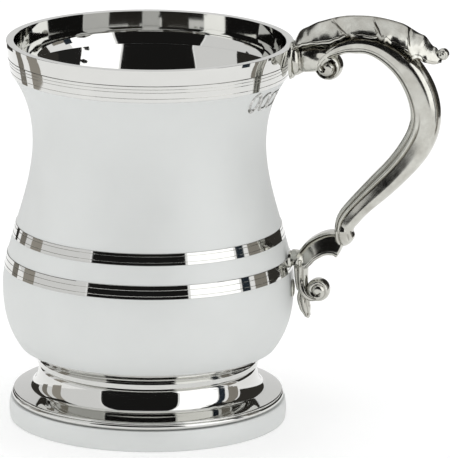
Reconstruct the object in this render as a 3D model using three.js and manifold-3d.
// A lidless bellied pewter tankard of one imperial pint, with a double-scroll handle.
// Millimetres, +Z up. The foot rests on z = 0 and the handle points along +X.
import * as THREE from 'three';
import { mergeVertices } from 'three/addons/utils/BufferGeometryUtils.js';
import Module from 'manifold-3d';

const wasm = await Module();
wasm.setup();

// ---------------------------------------------------------------- driving dimensions
const SEGMENTS = 40;              // facets round every turned piece
const GAP = 0.3;                  // solder clearance between touching pieces
const WALL = 2.0;                 // thickness of the body castings
const BAND = 0.9;                 // thickness of the applied belly bands inside the wall line

const WAIST = { r: 38.7, z: 94.1 };
const BELLY = { r: 48.5, z: 45.9 };
const FLARE_END = { r: 45.7, z: 117.4 };
const BOWL_END = { r: 42.6, z: 25.0 };

const LIP_TOP = 128.3;            // overall height of the cup
const LIP_R = 47.5;               // outside radius of the lip
const MOUTH_R = 45.0;             // inside radius of the straight mouth
const MOUTH_Z = 122.4;            // where the straight mouth ends and the flare starts
const REED_TOP = 123.0;
const REED_EDGES = [118.75, 120.85, 121.95];
const REED_R = { bottom: 46.0, top: 47.0 };

// Each belly band is three reeds; thinBottom and thinTop are the heights of the outer two.
const UPPER_BAND = { low: 62.8, high: 66.4, thinBottom: 1.0, thinTop: 0.9 };
const LOWER_BAND = { low: 52.1, high: 56.6, thinBottom: 1.1, thinTop: 1.5 };
const BAND_PROUD = 0.35;          // how far a belly band stands out from the body
const BELT_BACK = 2.6;            // the belly castings meet this far above a band's lower edge

const FLOOR = { under: 25.4, top: 27.6, dome: 0.7 };
const COLLAR = { top: 24.7, bottom: 18.8, topR: 42.3, bottomR: 36.6, innerR: 33.6 };
const NECK_R = 36.2;              // narrowest place, where the collar sits on the foot
const FOOT_TOP = 18.5;
const FOOT_SLOPE = { innerR: 39.9, innerZ: 10.8, outerR: 44.7, outerZ: 9.85 };
const FOOT_WALL = 1.9;
const EDGE = { top: 6.75, r: 46.3, topR: 45.8, bottomR: 46.0, innerR: 42.6 };

const POLISHED = { color: 0xc9c8c4, roughness: 0.12, metalness: 1.0 };
const SATIN = { color: 0xcfd0ce, roughness: 0.42, metalness: 1.0 };
const PLAIN = { color: 0xb4b4b0, roughness: 0.5, metalness: 1.0 };

// ---------------------------------------------------------------- helpers
const v2 = (r, z) => new THREE.Vector2(r, z);

function bezier(points, steps) {
  const [a, b, c, d] = points.map(([r, z]) => v2(r, z));
  return new THREE.CubicBezierCurve(a, b, c, d).getPoints(steps);
}

function signedArea(points) {
  return THREE.ShapeUtils.area(points);
}

// A ring or disc turned about the cup's axis from its cross-section (radius, height).
function turned(section) {
  const points = section.map((p) => (p.isVector2 ? p.clone() : v2(p[0], p[1])));
  if (signedArea(points) < 0) points.reverse();
  const onAxis = points.some((p) => p.x === 0);
  if (onAxis) {
    while (points[0].x !== 0 || points[points.length - 1].x !== 0) points.push(points.shift());
  } else {
    points.push(points[0].clone());
  }
  const geometry = new THREE.LatheGeometry(points, SEGMENTS);
  geometry.rotateX(Math.PI / 2);
  return geometry;
}

// A point beside a path in the handle's plane: n outwards from the curve, y across the plane.
function beside(path, s, n, y) {
  const point = path.getPointAt(s);
  const tangent = path.getTangentAt(s);
  return [point.x - tangent.y * n, y, point.y + tangent.x * n];
}

// A solid swept along part of a path; sectionAt(s) gives its closed outline as (n, y) points.
function sweep(path, from, to, stations, sectionAt) {
  const positions = [];
  const index = [];
  const outlines = [];
  for (let i = 0; i <= stations; i += 1) {
    const s = from + ((to - from) * i) / stations;
    const ring = sectionAt(s);
    if (signedArea(ring) < 0) ring.reverse();
    for (const p of ring) positions.push(...beside(path, s, p.x, p.y));
    outlines.push(ring);
  }
  const count = outlines[0].length;
  for (let i = 0; i < stations; i += 1) {
    for (let j = 0; j < count; j += 1) {
      const a = i * count + j;
      const b = i * count + ((j + 1) % count);
      index.push(a, a + count, b, b, a + count, b + count);
    }
  }
  for (const end of [0, stations]) {
    const ring = outlines[end];
    for (const [p, q, r] of THREE.ShapeUtils.triangulateShape(ring, [])) {
      const forward = signedArea([ring[p], ring[q], ring[r]]) > 0;
      const face = forward === (end === 0) ? [p, q, r] : [p, r, q];
      index.push(...face.map((k) => end * count + k));
    }
  }
  const geometry = new THREE.BufferGeometry();
  geometry.setAttribute('position', new THREE.Float32BufferAttribute(positions, 3));
  geometry.setIndex(index);
  return geometry;
}

function toManifold(geometry) {
  const bare = new THREE.BufferGeometry();
  bare.setAttribute('position', geometry.getAttribute('position').clone());
  if (geometry.index) bare.setIndex(geometry.index.clone());
  const welded = mergeVertices(bare, 1e-4);
  const mesh = new wasm.Mesh({
    numProp: 3,
    vertProperties: new Float32Array(welded.getAttribute('position').array),
    triVerts: new Uint32Array(welded.index.array),
  });
  return new wasm.Manifold(mesh);
}

function fromManifold(solid) {
  const mesh = solid.getMesh();
  const geometry = new THREE.BufferGeometry();
  geometry.setAttribute('position', new THREE.Float32BufferAttribute(mesh.vertProperties, 3));
  geometry.setIndex(new THREE.Uint32BufferAttribute(mesh.triVerts, 1));
  return geometry;
}

function cut(geometry, ...tools) {
  let solid = toManifold(geometry);
  for (const tool of tools) solid = solid.subtract(toManifold(tool));
  return fromManifold(solid);
}

function common(geometry, tool) {
  return fromManifold(toManifold(geometry).intersect(toManifold(tool)));
}

const tankard = new THREE.Group();
tankard.name = 'pewter_tankard';

function add(name, geometry, finish) {
  geometry.computeVertexNormals();
  const mesh = new THREE.Mesh(geometry, new THREE.MeshStandardMaterial(finish));
  mesh.name = name;
  tankard.add(mesh);
}

// ---------------------------------------------------------------- body profile
const flareCurve = bezier(
  [[WAIST.r, WAIST.z], [WAIST.r, 105.8], [42.7, 112.8], [FLARE_END.r, FLARE_END.z]], 12);
const bellCurve = bezier(
  [[BELLY.r, BELLY.z], [BELLY.r, 58.8], [WAIST.r, 76.3], [WAIST.r, WAIST.z]], 48);
const bowlCurve = bezier(
  [[39.0, 20.6], [45.9, 27.9], [BELLY.r, 34.6], [BELLY.r, BELLY.z]], 32);
const outline = [...bowlCurve, ...bellCurve.slice(1), ...flareCurve.slice(1)];

function radiusAt(z) {
  for (let i = 0; i + 1 < outline.length; i += 1) {
    const a = outline[i];
    const b = outline[i + 1];
    if (z >= a.y && z <= b.y) return a.x + ((b.x - a.x) * (z - a.y)) / (b.y - a.y);
  }
  return outline[z < outline[0].y ? 0 : outline.length - 1].x;
}

// The outside line between two heights, moved inwards by an offset, in a number of steps.
function wallLine(low, high, steps, inset) {
  const line = [];
  for (let i = 0; i <= steps; i += 1) {
    const z = low + ((high - low) * i) / steps;
    line.push(v2(radiusAt(z) - inset, z));
  }
  return line;
}

// ---------------------------------------------------------------- body castings
const upperSeam = UPPER_BAND.low + BELT_BACK;
const lowerSeam = LOWER_BAND.low + BELT_BACK;

const upperOutside = wallLine(UPPER_BAND.high + GAP, FLARE_END.z, 13, 0);
const upperInside = wallLine(upperSeam + GAP / 2, FLARE_END.z, 9, WALL).reverse();
add('upper_body', turned([
  ...upperOutside,
  ...upperInside,
  ...wallLine(upperSeam + GAP / 2, UPPER_BAND.high + GAP, 1, BAND + GAP),
]), SATIN);

const beltOutside = wallLine(LOWER_BAND.high + GAP, UPPER_BAND.low - GAP, 2, 0);
add('belly_belt', turned([
  ...beltOutside,
  ...wallLine(UPPER_BAND.low - GAP, upperSeam - GAP / 2, 1, BAND + GAP),
  ...wallLine(lowerSeam + GAP / 2, upperSeam - GAP / 2, 3, WALL).reverse(),
  ...wallLine(lowerSeam + GAP / 2, LOWER_BAND.high + GAP, 1, BAND + GAP),
]), SATIN);

add('lower_bowl', turned([
  ...wallLine(BOWL_END.z, LOWER_BAND.low - GAP, 9, 0),
  ...wallLine(LOWER_BAND.low - GAP, lowerSeam - GAP / 2, 1, BAND + GAP),
  ...wallLine(BOWL_END.z, lowerSeam - GAP / 2, 8, WALL).reverse(),
]), SATIN);

// A slightly domed disc closes the bowl from inside.
const floorR = radiusAt(FLOOR.under) - WALL - GAP;
add('base_disc', turned([
  [0, FLOOR.under],
  [floorR - 0.6, FLOOR.under],
  [floorR, FLOOR.under + 0.7],
  [floorR + 0.5, FLOOR.top],
  [floorR * 0.6, FLOOR.top + FLOOR.dome * 0.6],
  [0, FLOOR.top + FLOOR.dome],
]), PLAIN);

// ---------------------------------------------------------------- lip and reeds
// Flat-topped reeds between the given edges, parted by narrow grooves.
const GROOVE = { half: 0.2, deep: 0.25 };

function reeds(edges, topAt) {
  const points = [];
  for (let i = 0; i + 1 < edges.length; i += 1) {
    const low = edges[i];
    const high = edges[i + 1];
    points.push(v2(topAt(low) - GROOVE.deep, low));
    points.push(v2(topAt(low + GROOVE.half), low + GROOVE.half));
    points.push(v2(topAt(high - GROOVE.half), high - GROOVE.half));
  }
  const top = edges[edges.length - 1];
  points.push(v2(topAt(top) - GROOVE.deep, top));
  return points;
}

const REED_SPREAD = (REED_R.top - REED_R.bottom) / (REED_TOP - FLARE_END.z);
const reedTopAt = (z) => REED_R.bottom + REED_SPREAD * (z - FLARE_END.z);
add('rim_reed_band', turned([
  ...reeds([FLARE_END.z + GAP, ...REED_EDGES, REED_TOP - GAP], reedTopAt),
  [MOUTH_R, REED_TOP - GAP],
  [MOUTH_R, MOUTH_Z],
  [FLARE_END.r - WALL, FLARE_END.z + GAP],
]), POLISHED);

add('lip_rim', turned([
  [MOUTH_R, REED_TOP],
  [47.1, REED_TOP],
  [47.3, 125.0],
  [LIP_R, 126.8],
  [LIP_R - 0.1, 127.6],
  [LIP_R - 0.6, LIP_TOP - 0.1],
  [LIP_R - 1.1, LIP_TOP],
  [MOUTH_R + 0.4, LIP_TOP - 0.1],
  [MOUTH_R, LIP_TOP - 0.6],
]), POLISHED);

// ---------------------------------------------------------------- belly bands
function bellyBand(band) {
  const edges = [band.low, band.low + band.thinBottom, band.high - band.thinTop, band.high];
  const proud = (z) => radiusAt(z) + BAND_PROUD;
  return [...reeds(edges, proud), ...wallLine(band.low, band.high, 2, BAND).reverse()];
}

add('belly_band_upper', turned(bellyBand(UPPER_BAND)), POLISHED);
add('belly_band_lower', turned(bellyBand(LOWER_BAND)), POLISHED);

// ---------------------------------------------------------------- foot
const collarCurve = bezier(
  [[COLLAR.topR, COLLAR.top], [41.0, 23.1], [39.0, 21.1], [COLLAR.bottomR, COLLAR.bottom]], 4);
add('foot_collar', turned([
  ...collarCurve,
  [COLLAR.innerR, COLLAR.bottom],
  [COLLAR.innerR, COLLAR.top],
]), POLISHED);

// The neck runs steeply down, turns in a tight cove and ends in a gently sloping top.
const coveCurve = bezier(
  [[NECK_R, FOOT_TOP], [36.9, 13.2], [37.7, 11.3], [FOOT_SLOPE.innerR, FOOT_SLOPE.innerZ]], 8);
add('foot_shell', turned([
  ...coveCurve,
  [FOOT_SLOPE.outerR, FOOT_SLOPE.outerZ],
  [45.0, 9.5],
  [44.8, 9.0],
  [45.3, 8.4],
  [45.2, 7.6],
  [44.8, EDGE.top + GAP],
  [43.1, EDGE.top + GAP],
  [42.7, 8.0],
  [38.6, 8.9],
  [36.0, 10.6],
  [34.8, 13.4],
  [NECK_R - FOOT_WALL, FOOT_TOP],
]), POLISHED);

add('foot_edge_band', turned([
  [EDGE.innerR, 0],
  [EDGE.bottomR - 0.3, 0],
  [EDGE.bottomR, 0.3],
  [EDGE.r, 2.2],
  [EDGE.r, 4.2],
  [EDGE.topR, EDGE.top - 0.4],
  [EDGE.topR - 0.5, EDGE.top],
  [EDGE.innerR, EDGE.top],
]), SATIN);

// ---------------------------------------------------------------- handle tube
function pathThrough(...spans) {
  const path = new THREE.CurvePath();
  for (const span of spans) {
    const [a, b, c, d] = span.map(([x, z]) => v2(x, z));
    path.add(new THREE.CubicBezierCurve(a, b, c, d));
  }
  return path;
}

const handlePath = pathThrough(
  [[52.3, 124.3], [57.0, 129.9], [63.7, 132.2], [71.6, 132.2]],
  [[71.6, 132.2], [82.0, 132.2], [92.7, 118.9], [92.7, 107.4]],
  [[92.7, 107.4], [92.7, 92.8], [71.1, 79.2], [66.9, 71.0]],
  [[66.9, 71.0], [66.4, 70.0], [65.9, 68.8], [65.7, 67.9]],
);

// Half thickness in the handle's plane and half depth across it, along the path.
const TUBE_SIZE = [
  { s: 0.0, thick: 3.8, deep: 4.2 },
  { s: 0.2, thick: 4.9, deep: 5.0 },
  { s: 0.52, thick: 5.1, deep: 5.0 },
  { s: 0.75, thick: 4.6, deep: 4.4 },
  { s: 1.0, thick: 3.6, deep: 3.6 },
];
const TUBE_STATIONS = 28;
const RING = 12;
const HANDLE_WALL = 1.7;

function along(knots, s, key) {
  const after = Math.max(1, knots.findIndex((k) => s <= k.s));
  const a = knots[after - 1];
  const b = knots[after];
  return THREE.MathUtils.lerp(a[key], b[key], (s - a.s) / (b.s - a.s));
}

// A rounded section with flattened sides and a narrower inner edge.
function softSquare(angle, thick, deep) {
  const power = 0.8;
  const c = Math.cos(angle);
  const k = Math.sin(angle);
  const narrowing = c < 0 ? 1 - 0.14 * c * c : 1;
  return v2(
    Math.sign(c) * Math.abs(c) ** power * thick,
    Math.sign(k) * Math.abs(k) ** power * deep * narrowing,
  );
}

function tubePoint(s, j, grow) {
  const angle = (2 * Math.PI * j) / RING;
  return softSquare(angle, along(TUBE_SIZE, s, 'thick') + grow, along(TUBE_SIZE, s, 'deep') + grow);
}

// One hollow cast half; side is +1 or -1 and the two halves meet on the plane y = 0.
function halfSection(s, side) {
  const ring = [];
  const half = RING / 2;
  for (let j = 0; j <= half; j += 1) {
    const p = tubePoint(s, j, 0);
    ring.push(v2(p.x, side * Math.max(p.y, GAP / 2)));
  }
  for (let j = half; j >= 0; j -= 1) {
    const p = tubePoint(s, j, -HANDLE_WALL);
    ring.push(v2(p.x, side * Math.max(p.y, GAP / 2)));
  }
  return ring;
}

function ringOf(count, pointAt) {
  return Array.from({ length: count }, (_, j) => pointAt(j));
}

// The space the tube takes, with solder clearance, for fitting other pieces against it.
const tubeSpace = sweep(handlePath, 0, 1, TUBE_STATIONS, (s) => (
  ringOf(RING, (j) => tubePoint(s, j, GAP))));
add('handle_half_left', sweep(handlePath, 0, 1, TUBE_STATIONS, (s) => halfSection(s, 1)), POLISHED);
add('handle_half_right', sweep(handlePath, 0, 1, TUBE_STATIONS, (s) => halfSection(s, -1)), POLISHED);

// ---------------------------------------------------------------- handle ornaments
// A tapered solid bar along a path, sized by knots.
function bar(path, stations, knots, count, grow = 0) {
  return sweep(path, 0, 1, stations, (s) => ringOf(count, (j) => softSquare(
    (2 * Math.PI * j) / count,
    along(knots, s, 'thick') + grow,
    along(knots, s, 'deep') + grow,
  )));
}

// A piece turned about an axis across the handle, from (radius, y) points.
function crossTurned(section, x, z, segments) {
  const points = section.map(([r, y]) => v2(r, y));
  const geometry = new THREE.LatheGeometry(points, segments);
  geometry.translate(x, 0, z);
  return geometry;
}

function barrel(radius, halfDepth, x, z, grow = 0) {
  const r = radius + grow;
  const h = halfDepth + grow;
  const section = [[0, -h], [r * 0.8, -h], [r, -h * 0.75], [r, h * 0.75], [r * 0.8, h], [0, h]];
  return crossTurned(section, x, z, 18);
}

// A slab across the handle's plane with bevelled edges, cut from an outline of (x, z) points.
function slab(corners, halfDepth, bevel) {
  const shape = new THREE.Shape(corners);
  const geometry = new THREE.ExtrudeGeometry(shape, {
    depth: 2 * (halfDepth - bevel),
    bevelThickness: bevel,
    bevelSize: bevel,
    bevelOffset: -bevel,
    bevelSegments: 1,
  });
  geometry.rotateX(Math.PI / 2);
  geometry.translate(0, halfDepth - bevel, 0);
  return geometry;
}

// An oval pad fitted to the cup's outside, cut from a ring between two radii.
function pad(innerR, outerR, middleZ, halfHeight, halfWidth) {
  const top = middleZ + halfHeight;
  const bottom = middleZ - halfHeight;
  const ring = turned([[innerR, bottom], [outerR, bottom], [outerR, top], [innerR, top]]);
  const oval = new THREE.CylinderGeometry(1, 1, 2 * outerR, 20);
  oval.rotateZ(Math.PI / 2);
  oval.scale(1, halfWidth, halfHeight);
  oval.translate(outerR + 10, 0, middleZ);
  return common(ring, oval);
}

// The space the cup's outside takes, with solder clearance.
const cupSpace = turned([
  [0, 30],
  ...wallLine(30, LOWER_BAND.low - GAP, 6, -GAP),
  ...wallLine(LOWER_BAND.low - GAP, LOWER_BAND.high + GAP, 2, -GAP - BAND_PROUD),
  ...wallLine(LOWER_BAND.high + GAP, UPPER_BAND.low - GAP, 2, -GAP),
  ...wallLine(UPPER_BAND.low - GAP, UPPER_BAND.high + GAP, 2, -GAP - BAND_PROUD),
  ...wallLine(UPPER_BAND.high + GAP, FLARE_END.z, 8, -GAP),
  [LIP_R + GAP, FLARE_END.z + GAP],
  [LIP_R + GAP, LIP_TOP + GAP],
  [0, LIP_TOP + GAP],
]);

// The leaf lies along the top of the tube, and its tip runs straight on to the curl.
const leafPath = pathThrough(
  [[52.3, 124.3], [57.0, 129.9], [63.7, 132.2], [71.6, 132.2]],
  [[71.6, 132.2], [80.0, 132.2], [90.0, 126.4], [97.6, 126.8]],
);
const LEAF_FROM = 0.06;
const LEAF_STATIONS = 24;
const LEAF_SIZE = [
  { s: 0.0, thick: 6.4, deep: 5.2 },
  { s: 0.45, thick: 7.8, deep: 6.2 },
  { s: 0.72, thick: 7.2, deep: 6.0 },
  { s: 0.85, thick: 5.0, deep: 5.0 },
  { s: 0.94, thick: 2.5, deep: 3.4 },
  { s: 1.0, thick: 1.2, deep: 1.7 },
];
const LEAF_LOBES = 4;             // lobes down each side
const LOBE_DEPTH = 0.7;           // how far the notches between lobes are cut back
const LEAF_RING = 8;

function leafSection(s, grow) {
  const notch = LOBE_DEPTH * (1 - Math.abs(Math.sin(Math.PI * LEAF_LOBES * s)));
  const thick = along(LEAF_SIZE, s, 'thick') + grow;
  const deep = along(LEAF_SIZE, s, 'deep') + grow;
  const ring = [];
  for (let j = 0; j <= LEAF_RING; j += 1) {
    const p = softSquare(Math.PI * (j / LEAF_RING - 0.5), thick, deep);
    ring.push(v2(p.x + notch * (1 - p.x / thick), p.y));
  }
  return ring.map((p) => v2(p.x - grow, p.y));
}

function leaf(grow) {
  return sweep(leafPath, LEAF_FROM, 1, LEAF_STATIONS, (s) => leafSection(s, grow));
}

// Fits a piece clear of the tube and of anything else given.
function fitted(geometry, ...others) {
  return cut(geometry, cupSpace, tubeSpace, ...others);
}

const VOLUTE = { x: 58.6, z: 121.3, r: 3.45, half: 4.25 };
const CURL = { x: 98.0, z: 128.6, r: 2.0 };
const TERMINAL = { x: 66.0, z: 64.6, r: 3.6, half: 3.9 };
const BALL = { x: 58.4, z: 46.5, r: 3.8, half: 3.5 };
const RIM_PAD = { inner: LIP_R + GAP, outer: 48.9, z: 124.4, halfHeight: 6.6, halfWidth: 5.4 };
const BELLY_PAD = { inner: 47.0, outer: 50.2, z: 57.4, halfHeight: 4.0, halfWidth: 4.4 };

const voluteSpace = barrel(VOLUTE.r, VOLUTE.half, VOLUTE.x, VOLUTE.z, GAP);
const terminalSpace = barrel(TERMINAL.r, TERMINAL.half, TERMINAL.x, TERMINAL.z, GAP);

function ballAt(place, grow = 0) {
  const section = [];
  const steps = 8;
  for (let i = 0; i <= steps; i += 1) {
    const angle = (Math.PI * i) / steps;
    const r = i === 0 || i === steps ? 0 : Math.sin(angle) * (place.r + grow);
    section.push([r, -Math.cos(angle) * ((place.half ?? place.r) + grow)]);
  }
  return crossTurned(section, place.x, place.z, 16);
}

add('thumb_leaf', fitted(leaf(0), ballAt(CURL, GAP)), POLISHED);
add('thumb_leaf_curl', ballAt(CURL), POLISHED);
add('upper_volute', fitted(barrel(VOLUTE.r, VOLUTE.half, VOLUTE.x, VOLUTE.z)), POLISHED);

const rimPadSpace = pad(
  RIM_PAD.inner - 1, RIM_PAD.outer + GAP, RIM_PAD.z, RIM_PAD.halfHeight, RIM_PAD.halfWidth);
add('upper_flange', cut(
  pad(RIM_PAD.inner, RIM_PAD.outer, RIM_PAD.z, RIM_PAD.halfHeight, RIM_PAD.halfWidth),
  leaf(GAP),
), POLISHED);

const neckPath = pathThrough([[48.0, 123.4], [50.0, 123.6], [52.0, 123.9], [56.0, 124.4]]);
const NECK_SIZE = [
  { s: 0, thick: 4.6, deep: 4.8 },
  { s: 1, thick: 3.4, deep: 3.6 },
];
add('upper_neck', fitted(
  bar(neckPath, 4, NECK_SIZE, 10), rimPadSpace, voluteSpace, leaf(GAP)), POLISHED);

add('handle_terminal', fitted(barrel(TERMINAL.r, TERMINAL.half, TERMINAL.x, TERMINAL.z)), POLISHED);

const bellyPadSpace = pad(
  BELLY_PAD.inner - 1, BELLY_PAD.outer + GAP, BELLY_PAD.z, BELLY_PAD.halfHeight, BELLY_PAD.halfWidth);
add('lower_flange', cut(
  pad(BELLY_PAD.inner, BELLY_PAD.outer, BELLY_PAD.z, BELLY_PAD.halfHeight, BELLY_PAD.halfWidth),
  cupSpace,
), POLISHED);

const scrollTop = bezier([[49.6, 57.0], [51.4, 63.4], [56.6, 66.9], [63.0, 67.3]], 8);
const scrollUnder = bezier([[62.7, 58.7], [58.6, 60.4], [54.6, 57.8], [54.3, 53.4]], 7);
const scrollOutline = [
  ...scrollTop,
  v2(65.5, 61.6),
  v2(65.5, 58.8),
  v2(64.5, 57.7),
  ...scrollUnder,
  v2(49.6, 53.4),
].reverse();
add('lower_scroll', fitted(
  slab(scrollOutline, 3.5, 0.9), terminalSpace, bellyPadSpace), POLISHED);

const strutPath = pathThrough([[52.0, 53.1], [52.0, 50.6], [52.0, 48.6], [53.4, 46.4]]);
const STRUT_SIZE = [
  { s: 0, thick: 2.3, deep: 3.4 },
  { s: 1, thick: 2.2, deep: 2.8 },
];
add('lower_strut', fitted(
  bar(strutPath, 6, STRUT_SIZE, 10), ballAt(BALL, GAP), bellyPadSpace), POLISHED);
add('lower_ball', ballAt(BALL), POLISHED);

const petalPath = pathThrough([[52.2, 44.4], [52.5, 42.0], [53.5, 39.4], [54.5, 36.8]]);
const PETAL_SIZE = [
  { s: 0, thick: 1.3, deep: 2.2 },
  { s: 0.5, thick: 1.5, deep: 2.3 },
  { s: 1, thick: 0.6, deep: 0.9 },
];
const strutSpace = bar(strutPath, 6, STRUT_SIZE, 10, GAP);
add('lower_petal', fitted(
  bar(petalPath, 7, PETAL_SIZE, 8), ballAt(BALL, GAP), strutSpace), POLISHED);

// ---------------------------------------------------------------- frame
// The origin is under the middle of the whole part, on the surface that it stands on.
const whole = new THREE.Box3().setFromObject(tankard);
const middleX = (whole.min.x + whole.max.x) / 2;
for (const mesh of tankard.children) mesh.geometry.translate(-middleX, 0, 0);

export default tankard;
